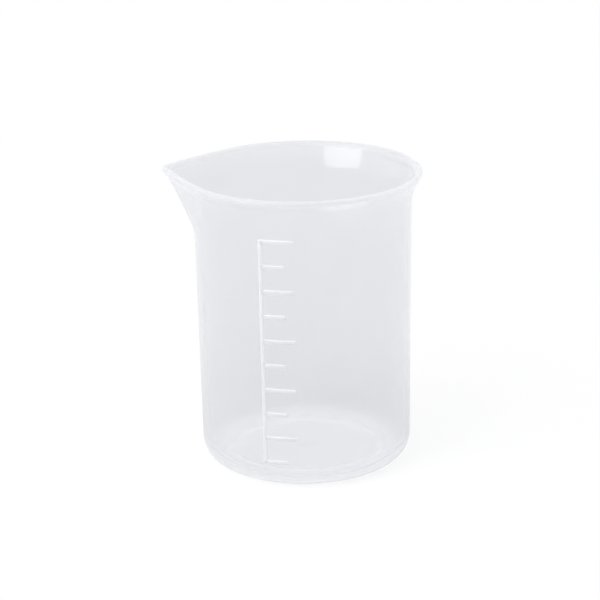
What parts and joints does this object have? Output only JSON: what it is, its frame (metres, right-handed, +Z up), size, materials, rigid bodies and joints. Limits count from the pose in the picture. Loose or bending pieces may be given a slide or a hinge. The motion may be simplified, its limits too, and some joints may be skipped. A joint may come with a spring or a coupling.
{
  "type": "plastic beaker",
  "caption": "Translucent plastic beaker with a flared lip, a V-shaped pouring spout and a raised volume scale on its wall.",
  "frame": {"origin": "on the beaker's axis, in the plane that it stands on; the recessed middle of the underside lies 0.5 mm above it", "axes": "+Z up along the beaker's axis, the spout towards -X, the volume scale towards -Y"},
  "size_m": [0.0816, 0.0744, 0.0935],
  "materials": {
    "clear_plastic": "translucent, smooth, slightly hazy",
    "scale_plastic": "satin, pale"
  },
  "bodies": {
    "root": {"beaker_shell": "clear_plastic", "scale_line": "scale_plastic", "scale_mark_025ml": "scale_plastic", "scale_mark_050ml": "scale_plastic", "scale_mark_075ml": "scale_plastic", "scale_mark_100ml": "scale_plastic", "scale_mark_125ml": "scale_plastic", "scale_mark_150ml": "scale_plastic", "scale_mark_175ml": "scale_plastic", "scale_mark_200ml": "scale_plastic", "scale_mark_225ml": "scale_plastic", "scale_mark_250ml": "scale_plastic"}
  },
  "joints": []
}
